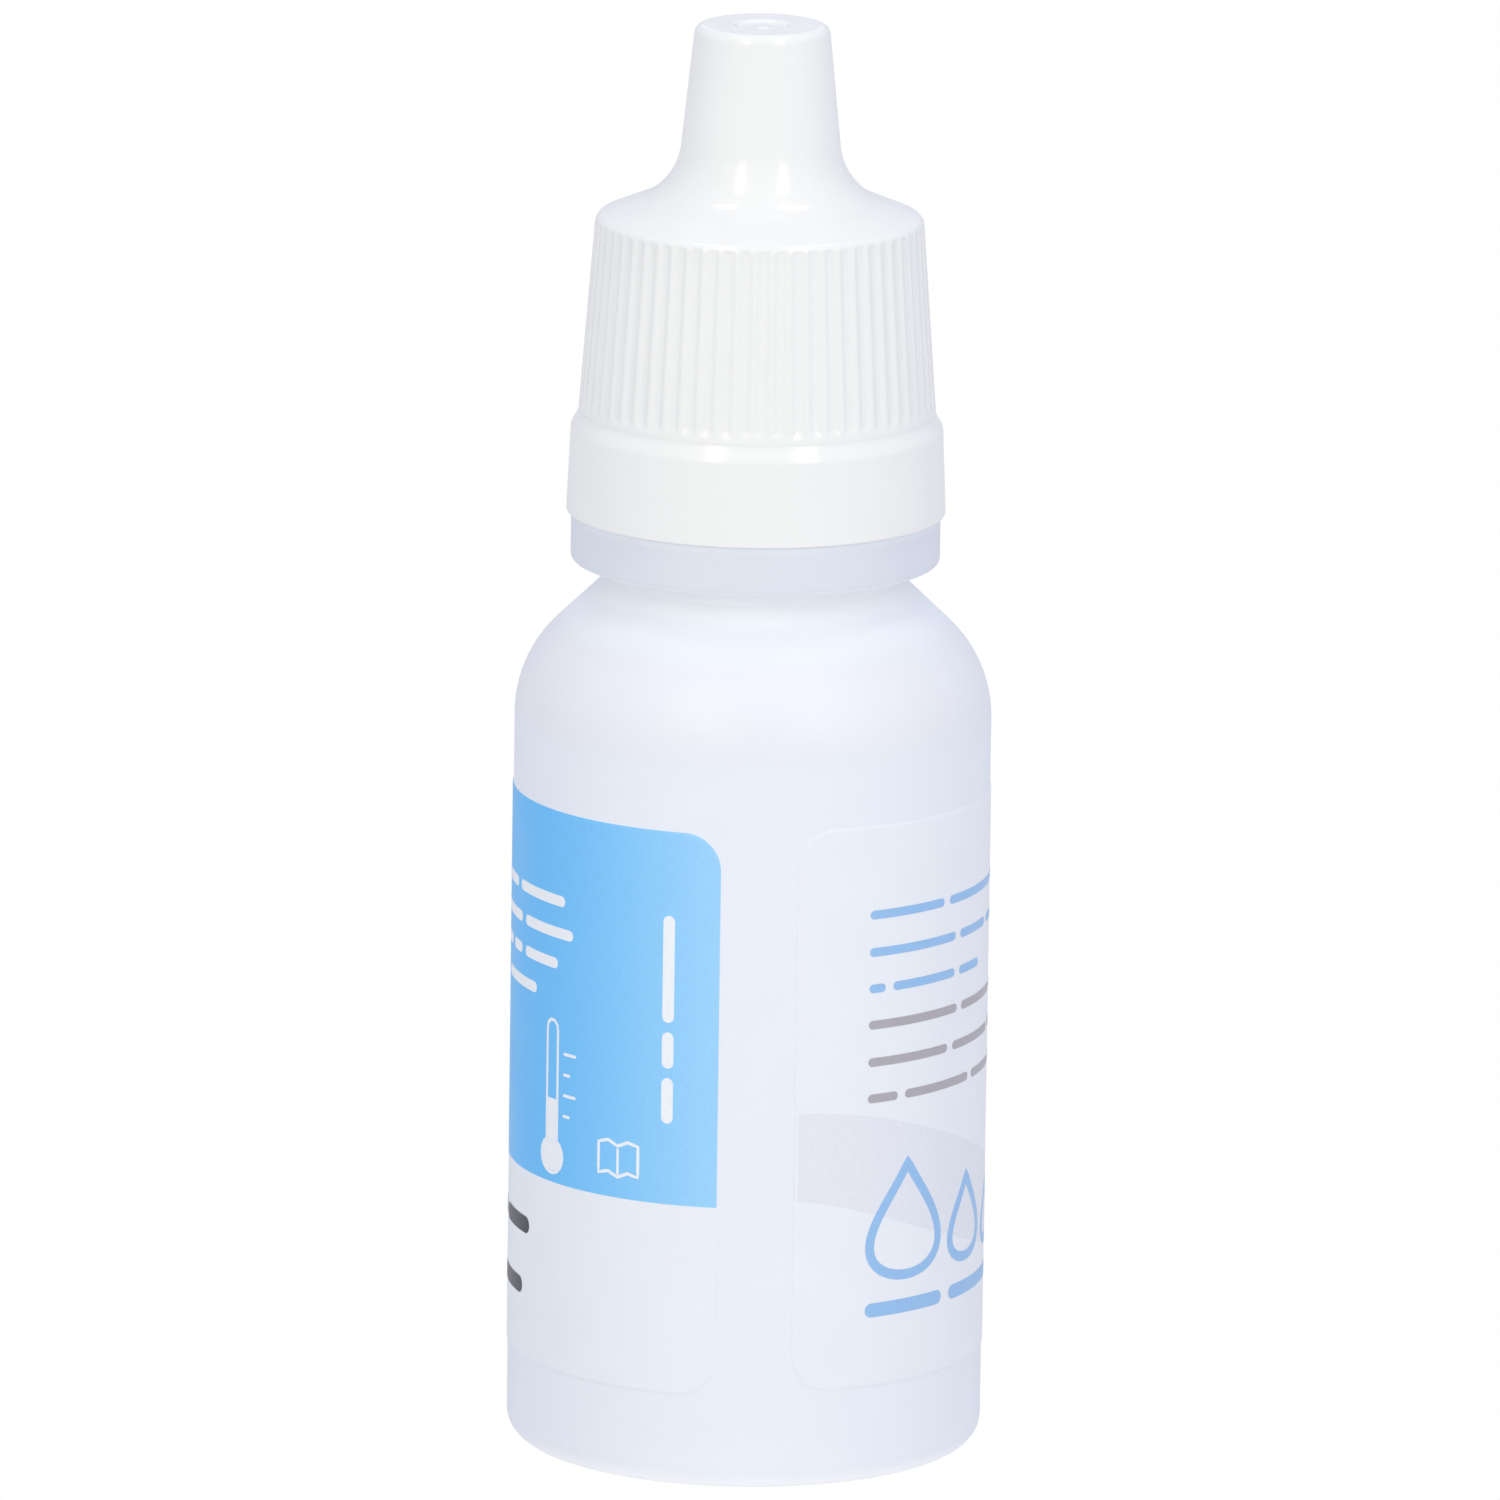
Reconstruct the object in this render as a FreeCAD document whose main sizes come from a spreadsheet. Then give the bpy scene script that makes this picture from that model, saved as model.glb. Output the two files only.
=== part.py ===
import FreeCAD, Part
import math
import os
import re
import Sketcher

# Eye drop bottle, closed, standing on its base. Millimetres and degrees, +Z up.
# The origin is the centre of the base, and the gap in the label faces -Y.

os.makedirs("parts", exist_ok=True)
doc = FreeCAD.newDocument("EyeDropBottle")

# Driving dimensions. Each can be set by itself.

sizes = {
    # bottle body
    "bodyRadius": 11.25,
    "bodyHeight": 35.04,
    "wallThickness": 1.0,
    "baseCorner": 1.25,
    "standingWidth": 1.5,
    "pushUpDepth": 0.7,
    "pushUpSlope": 2.0,
    "pinchLength": 9.0,
    "pinchWidth": 0.5,
    "pinchHeight": 0.25,
    "shoulderRadius": 5.95,
    "shoulderAngle": 46.2,
    # neck: bore, collar under the cap, finish with bead and thread
    "boreRadius": 5.0,
    "stemWall": 1.92,
    "stemHeight": 0.79,
    "collarWidth": 2.6,
    "collarHeight": 2.38,
    "collarEdge": 0.25,
    "finishWall": 1.1,
    "rimChamfer": 0.3,
    "beadWidth": 1.2,
    "beadLand": 0.3,
    "beadSlope": 0.9,
    # screw thread, the same lead on neck and cap
    "threadLead": 3.0,
    "threadTurns": 1.5,
    "threadDepth": 0.65,
    "threadBase": 1.3,
    "threadCrest": 0.6,
    "threadClearance": 0.15,
    "threadRunIn": 1.43,
    "threadTopLand": 1.6,
    "capThreadTurns": 1.25,
    "capThreadLag": 0.5,
    # tamper ring
    "ringHeight": 4.77,
    "ringFlare": 0.17,
    "ringClearance": 0.55,
    "creaseStep": 0.355,
    "creaseHeight": 0.62,
    "ledgeClearance": 0.12,
    "ledgeThickness": 0.9,
    "ledgeSlope": 0.45,
    "lugCount": 8,
    "lugAngle": 26.0,
    "lugRise": 0.75,
    "lugHeight": 0.8,
    "lugSlope": 0.4,
    "lugClearance": 0.55,
    "lugGap": 0.2,
    # break-away bridges in the break line
    "breakGap": 0.05,
    "bridgeCount": 8,
    "bridgeHeight": 0.35,
    "bridgeWidth": 0.6,
    "bridgeDepth": 0.4,
    "bridgeInset": 0.08,
    # dropper insert
    "plugLength": 7.5,
    "plugWall": 0.8,
    "plugClearance": 0.05,
    "plugChamfer": 0.4,
    "sealBeadPress": 0.04,
    "sealBeadHeight": 0.7,
    "sealBeadSpacing": 2.2,
    "flangeInset": 0.1,
    "flangeThickness": 0.9,
    "funnelDepth": 1.6,
    "nozzleRadius": 2.75,
    "nozzleHeight": 8.4,
    "nozzleTaper": 5.86,
    "nozzleWall": 1.0,
    "nozzleFillet": 0.4,
    "nozzleEdge": 0.2,
    "orificeRadius": 0.25,
    "orificeLength": 0.7,
    "mouthRadius": 1.1,
    "mouthDepth": 1.3,
    # screw cap
    "skirtWall": 1.51,
    "skirtDraft": 0.695,
    "lipWidth": 0.42,
    "upperBoreClearance": 0.35,
    "upperBoreLand": 0.6,
    "roofWall": 0.99,
    "roofSlope": 22.3,
    "skirtEdge": 0.5,
    "coverClearance": 0.35,
    "coverWall": 1.08,
    "coverFillet": 3.2,
    "tipClearance": 0.3,
    "tipWall": 1.3,
    "tipEdge": 0.45,
    "gateRadius": 1.3,
    "gateDepth": 0.25,
    "gateStubRadius": 0.35,
    "gateStubHeight": 0.12,
    "capSealWidth": 0.5,
    "capSealHeight": 0.35,
    "capSealInset": 0.35,
    "pinClearance": 0.06,
    "pinTipGap": 0.25,
    "ribCount": 60,
    "ribGrooveRadius": 0.26,
    "ribGrooveDepth": 0.21,
    "ribFoot": 0.28,
    "ribHead": 0.17,
    # label
    "labelGlue": 0.03,
    "labelThickness": 0.08,
    "labelBottom": 4.6,
    "labelTopMargin": 3.14,
    "labelGap": 3.77,
    "labelGapShift": 0.49,
    "labelCorner": 2.0,
    # how far a feature reaches into the wall that it joins, or past the film that it cuts
    "overrun": 0.1,
}

sheet = doc.addObject("Spreadsheet::Sheet", "Sizes")
for row, (alias, size) in enumerate(sizes.items(), start=1):
    sheet.set("A%d" % row, alias)
    sheet.set("B%d" % row, str(size))
    sheet.setAlias("B%d" % row, alias)
doc.recompute()

# Levels: radii, heights and angles that follow from the driving dimensions.

levels = doc.addObject("App::VarSet", "Levels")
owner = {alias: "Sizes" for alias in sizes}


def bound(text):
    """The expression with each size and level written with the object that holds it."""
    def withOwner(word):
        name = word[0]
        return owner[name] + "." + name if name in owner else name
    return re.sub(r"[A-Za-z]\w*", withOwner, text)


def level(name, text):
    levels.addProperty("App::PropertyFloat", name)
    levels.setExpression(name, bound(text))
    owner[name] = "Levels"


def value(text):
    """The number that an expression gives now."""
    return float(sheet.evalExpression(bound(text)))


# bottle levels
level("innerRadius", "bodyRadius - wallThickness")
level("floorHeight", "pushUpDepth + wallThickness")
level("pushUpRadius", "bodyRadius - baseCorner - standingWidth")
level("arcEndRadius", "bodyRadius - shoulderRadius * (1 - cos(shoulderAngle))")
level("arcEndHeight", "bodyHeight + shoulderRadius * sin(shoulderAngle)")
level("innerArc", "shoulderRadius - wallThickness")
level("innerArcEndRadius", "innerRadius - innerArc * (1 - cos(shoulderAngle))")
level("innerArcEndHeight", "bodyHeight + innerArc * sin(shoulderAngle)")
level("stemRadius", "boreRadius + stemWall")
level("finishRadius", "boreRadius + finishWall")
level("coneTop", "arcEndHeight + (arcEndRadius - stemRadius) / tan(shoulderAngle)")
level("boreBottom", "innerArcEndHeight + (innerArcEndRadius - boreRadius) / tan(shoulderAngle)")
level("collarBottom", "coneTop + stemHeight")
level("collarTop", "collarBottom + collarHeight")
level("collarRadius", "finishRadius + collarWidth")
level("beadRadius", "finishRadius + beadWidth")
level("beadBottom", "collarTop + lugRise + lugHeight + lugGap")
level("beadTop", "beadBottom + beadLand + beadSlope")

# ring levels
level("threadRadius", "finishRadius + threadDepth")
level("capBore", "threadRadius + threadClearance")
level("skirtRadius", "capBore + skirtWall")
level("ringTop", "collarTop + ringHeight")
level("ringShoulderRadius", "skirtRadius + creaseStep")
level("ringShoulderHeight", "ringTop - creaseHeight")
level("creaseRadius", "(creaseStep ^ 2 + creaseHeight ^ 2) / (2 * creaseStep)")
level("ringFootRadius", "ringShoulderRadius + ringFlare")
level("ringInner", "beadRadius + ringClearance")
level("ledgeInner", "beadRadius + ledgeClearance")
level("lugInner", "finishRadius + lugClearance")
level("lugBottom", "collarTop + lugRise")

# thread levels: the cap's thread lies just under the neck's
level("capEdge", "ringTop + breakGap")
level("capStep", "ringTop + bridgeHeight")
level("threadStart", "ringTop + threadRunIn")
level("neckTop", "threadStart + threadLead * threadTurns + threadTopLand")
level("threadDrop", "(threadBase + threadCrest) / 2 + threadClearance")
level("capThreadStart", "threadStart + threadLead * capThreadLag - threadDrop")
level("capThreadRadius", "finishRadius + threadClearance")

# insert levels
level("insertTop", "neckTop + flangeThickness")
level("insertFlange", "finishRadius - flangeInset")
level("plugRadius", "boreRadius - plugClearance")
level("plugInner", "plugRadius - plugWall")
level("plugBottom", "neckTop - plugLength")
level("nozzleTip", "insertTop + nozzleHeight")
level("nozzleTipRadius", "nozzleRadius - nozzleHeight * tan(nozzleTaper)")
level("mouthBottom", "nozzleTip - mouthDepth")
level("chamberTop", "mouthBottom - orificeLength")
level("chamberTopRadius", "nozzleRadius - (chamberTop - insertTop) * tan(nozzleTaper) - nozzleWall")
level("mouthSlope", "(mouthRadius - orificeRadius) / mouthDepth")

# cap levels
level("capCeiling", "insertTop + capSealHeight")
level("upperBore", "finishRadius + upperBoreClearance")
level("upperBoreBottom", "neckTop - upperBoreLand")
level("skirtTopRadius", "skirtRadius - skirtDraft")
level("skirtTop", "capCeiling + roofWall - (skirtTopRadius - upperBore) * tan(roofSlope)")
level("skirtTilt", "atan((skirtRadius - skirtTopRadius) / (skirtTop - capEdge))")
level("coverInner", "nozzleRadius + coverClearance - (capCeiling - insertTop) * tan(nozzleTaper)")
level("coverCeiling", "nozzleTip + tipClearance")
level("coverTop", "coverCeiling + tipWall")
level("coverCeilingRadius", "coverInner - (coverCeiling - capCeiling) * tan(nozzleTaper)")
level("coverTopRadius", "coverInner + coverWall - (coverTop - capCeiling) * tan(nozzleTaper)")
level("roofApex", "skirtTop + skirtTopRadius * tan(roofSlope)")
level("coverApexRadius", "coverInner + coverWall - (roofApex - capCeiling) * tan(nozzleTaper)")
level("coverFootRadius", "coverApexRadius / (1 - tan(roofSlope) * tan(nozzleTaper))")
level("coverFoot", "skirtTop + (skirtTopRadius - coverFootRadius) * tan(roofSlope)")
level("capSealOuter", "insertFlange - capSealInset")
level("pinTip", "mouthBottom + pinTipGap")
level("pinTipRadius", "orificeRadius + pinTipGap * mouthSlope - pinClearance")
level("pinRootRadius", "pinTipRadius + (coverCeiling - pinTip) * mouthSlope")
level("grooveOffset", "ribGrooveRadius - ribGrooveDepth")
level("grooveFoot", "capEdge + ribFoot")
level("grooveHead", "skirtTop - ribHead")

# label levels
level("labelInner", "bodyRadius + labelGlue")
level("labelOuter", "labelInner + labelThickness")
level("labelTop", "bodyHeight - labelTopMargin")
level("gapLeft", "labelOuter * sin((labelGapShift - labelGap / 2) / bodyRadius * 180 / pi)")
level("gapRight", "labelOuter * sin((labelGapShift + labelGap / 2) / bodyRadius * 180 / pi)")
doc.recompute()


# Drawing

def newBody(label):
    body = doc.addObject("PartDesign::Body", label)
    body.Label = label
    return body


def origin(body, role):
    return next(feature for feature in body.Origin.OriginFeatures if feature.Role == role)


def vector(point):
    return FreeCAD.Vector(value(point[0]), value(point[1]), 0)


def arcBetween(start, end, radius, turn):
    """The arc of that radius from start to end: turn is 1 where it runs anticlockwise, -1 where clockwise."""
    chord = end - start
    middle = (start + end) / 2
    rise = math.sqrt(max(radius ** 2 - (chord.Length / 2) ** 2, 0))
    across = FreeCAD.Vector(-chord.y, chord.x, 0).normalize()
    centre = middle + across * rise * turn
    angles = [math.atan2(p.y - centre.y, p.x - centre.x) for p in (start, end)]
    if turn < 0:
        angles.reverse()
    return Part.ArcOfCircle(Part.Circle(centre, FreeCAD.Vector(0, 0, 1), radius), angles[0], angles[1])


def fixCoordinate(sketch, kind, run, corner, text):
    """Holds one coordinate of a corner: on the axis where it is zero, else at its expression."""
    if text == "0":
        axis = -2 if kind == "DistanceX" else -1
        sketch.addConstraint(Sketcher.Constraint("PointOnObject", run, corner, axis))
        return
    index = sketch.addConstraint(Sketcher.Constraint(kind, run, corner, value(text)))
    sketch.setExpression("Constraints[%d]" % index, bound(text))


def drawOutline(body, name, points, plane="XZ_Plane"):
    """A closed sketch through the points, in order. A point is (x, y), or (x, y, radius, turn)
    where the run that leads to it is an arc."""
    sketch = body.newObject("Sketcher::SketchObject", name)
    sketch.AttachmentSupport = [(origin(body, plane), "")]
    sketch.MapMode = "FlatFace"
    ends = []
    for here, there in zip(points, points[1:] + points[:1]):
        if len(there) == 2:
            run = sketch.addGeometry(Part.LineSegment(vector(here), vector(there)), False)
            ends.append((run, 1, 2))
        else:
            arc = arcBetween(vector(here), vector(there), value(there[2]), there[3])
            run = sketch.addGeometry(arc, False)
            ends.append((run, 1, 2) if there[3] > 0 else (run, 2, 1))
    for (run, _, last), (following, start, _) in zip(ends, ends[1:] + ends[:1]):
        sketch.addConstraint(Sketcher.Constraint("Coincident", run, last, following, start))
    for (run, first, _), here, there in zip(ends, points, points[1:] + points[:1]):
        fixCoordinate(sketch, "DistanceX", run, first, here[0])
        fixCoordinate(sketch, "DistanceY", run, first, here[1])
        if len(there) > 2:
            index = sketch.addConstraint(Sketcher.Constraint("Radius", run, value(there[2])))
            sketch.setExpression("Constraints[%d]" % index, bound(there[2]))
    return sketch


def turn(body, name, sketch, angle="360", kind="PartDesign::Revolution", axis="V_Axis"):
    """Turns the sketch about its own vertical axis, or about one of its edges."""
    feature = body.newObject(kind, name)
    feature.Profile = sketch
    feature.ReferenceAxis = (sketch, [axis])
    feature.setExpression("Angle", bound(angle))
    doc.recompute()
    return feature


def helix(body, name, sketch, turns):
    feature = body.newObject("PartDesign::AdditiveHelix", name)
    feature.Profile = sketch
    feature.ReferenceAxis = (sketch, ["V_Axis"])
    feature.Mode = "pitch-turns-angle"
    feature.setExpression("Pitch", bound("threadLead"))
    feature.setExpression("Turns", bound(turns))
    doc.recompute()
    return feature


def repeatRound(body, name, feature, count):
    """Copies the feature round the vertical axis, evenly spaced."""
    pattern = body.newObject("PartDesign::PolarPattern", name)
    pattern.Originals = [feature]
    pattern.Axis = (origin(body, "Z_Axis"), [""])
    pattern.Angle = 360
    pattern.setExpression("Occurrences", bound(count))
    body.Tip = pattern
    doc.recompute()
    return pattern


def circlesAt(shape, radius, height):
    """Names of the round edges about the vertical axis with that radius at that height."""
    near = value("overrun") / 100
    names = []
    for number, edge in enumerate(shape.Edges, start=1):
        if isinstance(edge.Curve, Part.Circle):
            sameRadius = abs(edge.Curve.Radius - radius) < near
            if sameRadius and abs(edge.Curve.Center.z - height) < near:
                names.append("Edge%d" % number)
    return names


def roundEdge(body, name, radiusAt, heightAt, fillet):
    base = body.Tip
    names = circlesAt(base.Shape, value(radiusAt), value(heightAt))
    feature = body.newObject("PartDesign::Fillet", name)
    feature.Base = (base, names)
    feature.setExpression("Radius", bound(fillet))
    doc.recompute()
    return feature


def threadProfile(body, name, root, crest, middle):
    """One tooth of the thread: its root is sunk into the wall, its crest is narrower than its base."""
    return drawOutline(body, name, [
        (root[0], middle + " - threadBase / 2"),
        (root[1], middle + " - threadBase / 2"),
        (crest, middle + " - threadCrest / 2"),
        (crest, middle + " + threadCrest / 2"),
        (root[1], middle + " + threadBase / 2"),
        (root[0], middle + " + threadBase / 2"),
    ])


# Bottle: a thin wall turned as one piece, with the collar under the cap and the neck finish

bottle = newBody("bottle")
wall = drawOutline(bottle, "bottleWall", [
    ("0", "pushUpDepth"),
    ("pushUpRadius - pushUpSlope", "pushUpDepth"),
    ("pushUpRadius", "0"),
    ("bodyRadius - baseCorner", "0"),
    ("bodyRadius", "baseCorner", "baseCorner", 1),
    ("bodyRadius", "bodyHeight"),
    ("arcEndRadius", "arcEndHeight", "shoulderRadius", 1),
    ("stemRadius", "coneTop"),
    ("stemRadius", "collarBottom"),
    ("collarRadius - collarEdge", "collarBottom"),
    ("collarRadius", "collarBottom + collarEdge", "collarEdge", 1),
    ("collarRadius", "collarTop"),
    ("finishRadius", "collarTop"),
    ("finishRadius", "beadBottom"),
    ("beadRadius", "beadBottom"),
    ("beadRadius", "beadBottom + beadLand"),
    ("finishRadius", "beadTop"),
    ("finishRadius", "neckTop - rimChamfer"),
    ("finishRadius - rimChamfer", "neckTop"),
    ("boreRadius", "neckTop"),
    ("boreRadius", "boreBottom"),
    ("innerArcEndRadius", "innerArcEndHeight"),
    ("innerRadius", "bodyHeight", "innerArc", -1),
    ("innerRadius", "floorHeight + baseCorner"),
    ("innerRadius - baseCorner", "floorHeight", "baseCorner", -1),
    ("0", "floorHeight"),
])
turn(bottle, "bottleTurned", wall)
threadSketch = threadProfile(
    bottle, "neckTooth", ("finishRadius - overrun", "finishRadius"), "threadRadius", "threadStart")
helix(bottle, "neckThread", threadSketch, "threadTurns")

# the weld that pinching the tube shut leaves across the base, inside the push-up
pinchSketch = drawOutline(bottle, "pinchSketch", [
    ("-pinchLength / 2", "-pinchWidth / 2"),
    ("pinchLength / 2", "-pinchWidth / 2"),
    ("pinchLength / 2", "pinchWidth / 2"),
    ("-pinchLength / 2", "pinchWidth / 2"),
], "XY_Plane")
pinchSketch.setExpression("AttachmentOffset.Base.z", bound("pushUpDepth - pinchHeight"))
pinch = bottle.newObject("PartDesign::Pad", "pinchWeld")
pinch.Profile = pinchSketch
pinch.setExpression("Length", bound("pinchHeight + overrun"))
doc.recompute()

# Dropper insert: plug, flange on the neck's rim, nozzle with chamber, orifice and mouth

dropper = newBody("dropper_insert")
upperBead = "neckTop - sealBeadSpacing"
lowerBead = "neckTop - 2 * sealBeadSpacing"
dropperWall = drawOutline(dropper, "dropperWall", [
    ("orificeRadius", "chamberTop"),
    ("chamberTopRadius", "chamberTop"),
    ("nozzleRadius - nozzleWall", "insertTop"),
    ("plugInner", "neckTop - funnelDepth"),
    ("plugInner", "plugBottom"),
    ("plugRadius - plugChamfer", "plugBottom"),
    ("plugRadius", "plugBottom + plugChamfer"),
    ("plugRadius", lowerBead + " - sealBeadHeight / 2"),
    ("boreRadius + sealBeadPress", lowerBead),
    ("plugRadius", lowerBead + " + sealBeadHeight / 2"),
    ("plugRadius", upperBead + " - sealBeadHeight / 2"),
    ("boreRadius + sealBeadPress", upperBead),
    ("plugRadius", upperBead + " + sealBeadHeight / 2"),
    ("plugRadius", "neckTop"),
    ("insertFlange", "neckTop"),
    ("insertFlange", "insertTop"),
    ("nozzleRadius", "insertTop"),
    ("nozzleTipRadius", "nozzleTip"),
    ("mouthRadius", "nozzleTip"),
    ("orificeRadius", "mouthBottom"),
])
turn(dropper, "dropperTurned", dropperWall)
roundEdge(dropper, "nozzleFoot", "nozzleRadius", "insertTop", "nozzleFillet")
roundEdge(dropper, "nozzleLip", "nozzleTipRadius", "nozzleTip", "nozzleEdge")

# Screw cap: skirt, roof, nozzle cover with its sealing pin, ribs and thread

cap = newBody("screw_cap")
capWall = drawOutline(cap, "capWall", [
    ("skirtRadius", "capEdge"),
    ("skirtTopRadius", "skirtTop"),
    ("coverFootRadius", "coverFoot"),
    ("coverTopRadius", "coverTop"),
    ("gateRadius", "coverTop"),
    ("gateRadius - gateDepth", "coverTop - gateDepth"),
    ("gateStubRadius", "coverTop - gateDepth"),
    ("gateStubRadius", "coverTop - gateDepth + gateStubHeight"),
    ("0", "coverTop - gateDepth + gateStubHeight"),
    ("0", "pinTip"),
    ("pinTipRadius", "pinTip"),
    ("pinRootRadius", "coverCeiling"),
    ("coverCeilingRadius", "coverCeiling"),
    ("coverInner", "capCeiling"),
    ("capSealOuter - capSealWidth", "capCeiling"),
    ("capSealOuter - capSealWidth", "insertTop"),
    ("capSealOuter", "insertTop"),
    ("capSealOuter", "capCeiling"),
    ("upperBore", "capCeiling"),
    ("upperBore", "upperBoreBottom"),
    ("capBore", "upperBoreBottom - capBore + upperBore"),
    ("capBore", "capStep"),
    ("skirtRadius - lipWidth", "capStep"),
    ("skirtRadius - lipWidth", "capEdge"),
])
turn(cap, "capTurned", capWall)
roundEdge(cap, "coverFootRound", "coverFootRadius", "coverFoot", "coverFillet")
roundEdge(cap, "skirtEdgeRound", "skirtTopRadius", "skirtTop", "skirtEdge")
roundEdge(cap, "tipRound", "coverTopRadius", "coverTop", "tipEdge")

# one groove between two ribs is a round-ended channel along the skirt's slope, turned about its
# own middle line, which is the sketch's first edge
footLine = "skirtRadius + grooveOffset - ribFoot * tan(skirtTilt)"
headLine = "skirtTopRadius + grooveOffset + ribHead * tan(skirtTilt)"
grooveSketch = drawOutline(cap, "grooveSketch", [
    (footLine + " + ribGrooveRadius * sin(skirtTilt)", "grooveFoot - ribGrooveRadius * cos(skirtTilt)",
     "ribGrooveRadius", 1),
    (headLine + " - ribGrooveRadius * sin(skirtTilt)", "grooveHead + ribGrooveRadius * cos(skirtTilt)"),
    (headLine + " - ribGrooveRadius * cos(skirtTilt)", "grooveHead - ribGrooveRadius * sin(skirtTilt)",
     "ribGrooveRadius", 1),
    (footLine + " - ribGrooveRadius * cos(skirtTilt)", "grooveFoot - ribGrooveRadius * sin(skirtTilt)"),
])
plainCap = cap.Tip.Shape.Volume
groove = turn(cap, "ribGroove", grooveSketch, "360", "PartDesign::Groove", "Edge1")
ribs = repeatRound(cap, "ribs", groove, "ribCount")
if ribs.Shape.Volume >= plainCap:
    raise RuntimeError("the grooves between the ribs cut nothing")
capThreadSketch = threadProfile(
    cap, "capTooth", ("capBore + overrun", "capBore"), "capThreadRadius", "capThreadStart")
helix(cap, "capThread", capThreadSketch, "capThreadTurns")
cap.setExpression("Placement.Rotation.Angle", bound("360 * capThreadLag"))

# Tamper ring: a band with an inward ledge under the cap and lugs that catch below the bead

ring = newBody("tamper_ring")
ringWall = drawOutline(ring, "ringWall", [
    ("ringInner", "collarTop"),
    ("ringFootRadius", "collarTop"),
    ("ringShoulderRadius", "ringShoulderHeight"),
    ("skirtRadius", "ringTop", "creaseRadius", 1),
    ("ledgeInner", "ringTop"),
    ("ledgeInner", "ringTop - ledgeThickness"),
    ("ringInner", "ringTop - ledgeThickness - ledgeSlope"),
])
turn(ring, "ringTurned", ringWall)
lugSketch = drawOutline(ring, "lugSketch", [
    ("lugInner", "lugBottom + lugSlope"),
    ("ringInner + overrun", "lugBottom"),
    ("ringInner + overrun", "lugBottom + lugHeight"),
    ("lugInner", "lugBottom + lugHeight"),
])
lug = turn(ring, "lug", lugSketch, "lugAngle")
repeatRound(ring, "lugs", lug, "lugCount")

# Bridges: small blocks across the break line, which snap when the cap is first turned

bridges = newBody("ring_bridges")
bridges.AllowCompound = True
bridgeSketch = drawOutline(bridges, "bridgeSketch", [
    ("skirtRadius - lipWidth - bridgeInset - bridgeDepth", "ringTop"),
    ("skirtRadius - lipWidth - bridgeInset", "ringTop"),
    ("skirtRadius - lipWidth - bridgeInset", "capStep"),
    ("skirtRadius - lipWidth - bridgeInset - bridgeDepth", "capStep"),
])
bridge = bridges.newObject("PartDesign::Pad", "bridge")
bridge.Profile = bridgeSketch
bridge.Midplane = True
bridge.setExpression("Length", bound("bridgeWidth"))
doc.recompute()
repeatRound(bridges, "bridgesRound", bridge, "bridgeCount")

# Label: a thin film round the body, its two ends apart at the front, its corners rounded

label = newBody("label")
labelSketch = drawOutline(label, "labelSketch", [
    ("labelInner", "labelBottom"),
    ("labelOuter", "labelBottom"),
    ("labelOuter", "labelTop"),
    ("labelInner", "labelTop"),
])
turn(label, "labelFilm", labelSketch)
gapSketch = drawOutline(label, "gapSketch", [
    ("gapLeft - labelCorner", "labelBottom - overrun"),
    ("gapRight + labelCorner", "labelBottom - overrun"),
    ("gapRight + labelCorner", "labelBottom"),
    ("gapRight", "labelBottom + labelCorner", "labelCorner", -1),
    ("gapRight", "labelTop - labelCorner"),
    ("gapRight + labelCorner", "labelTop", "labelCorner", -1),
    ("gapRight + labelCorner", "labelTop + overrun"),
    ("gapLeft - labelCorner", "labelTop + overrun"),
    ("gapLeft - labelCorner", "labelTop"),
    ("gapLeft", "labelTop - labelCorner", "labelCorner", -1),
    ("gapLeft", "labelBottom + labelCorner"),
    ("gapLeft - labelCorner", "labelBottom", "labelCorner", -1),
])
fullFilm = label.Tip.Shape.Volume
gap = label.newObject("PartDesign::Pocket", "labelGapCut")
gap.Profile = gapSketch
gap.Reversed = True
gap.setExpression("Length", bound("labelOuter + overrun"))
doc.recompute()
if gap.Shape.Volume >= fullFilm:
    raise RuntimeError("the gap between the label's ends cuts nothing")

# Checks, then one file for each sub-part

for thing in doc.Objects:
    if "Invalid" in thing.State or "Error" in thing.State:
        raise RuntimeError("%s: %s" % (thing.Label, ", ".join(thing.State)))
for body in (bottle, dropper, cap, ring, bridges, label):
    if body.Shape.isNull() or not body.Shape.isValid():
        raise RuntimeError(body.Label + " has no valid shape")
    body.Shape.exportStep("parts/%s.step" % body.Label)
    print("%-16s solids %d  volume %9.3f" % (body.Label, len(body.Shape.Solids), body.Shape.Volume))
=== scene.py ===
import math

import bmesh
import bpy
import numpy as np
from mathutils import Matrix, Vector


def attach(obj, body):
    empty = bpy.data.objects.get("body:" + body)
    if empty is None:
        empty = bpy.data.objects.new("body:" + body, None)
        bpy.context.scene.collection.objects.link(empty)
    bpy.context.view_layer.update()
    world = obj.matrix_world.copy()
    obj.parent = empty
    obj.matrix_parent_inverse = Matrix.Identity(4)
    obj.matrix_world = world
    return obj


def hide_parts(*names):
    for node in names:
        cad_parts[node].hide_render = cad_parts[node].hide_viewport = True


# Looks of an eye drop bottle, closed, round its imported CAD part. The frame is in metres. The values
# here are in millimetres and degrees, with +Z up and the gap in the label facing -Y.

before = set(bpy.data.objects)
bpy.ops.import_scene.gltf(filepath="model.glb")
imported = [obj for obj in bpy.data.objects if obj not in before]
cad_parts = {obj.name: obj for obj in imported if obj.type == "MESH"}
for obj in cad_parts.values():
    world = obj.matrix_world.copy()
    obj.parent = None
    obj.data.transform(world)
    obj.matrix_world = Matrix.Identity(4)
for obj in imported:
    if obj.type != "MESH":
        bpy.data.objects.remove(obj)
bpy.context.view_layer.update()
mm = 0.001

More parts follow.
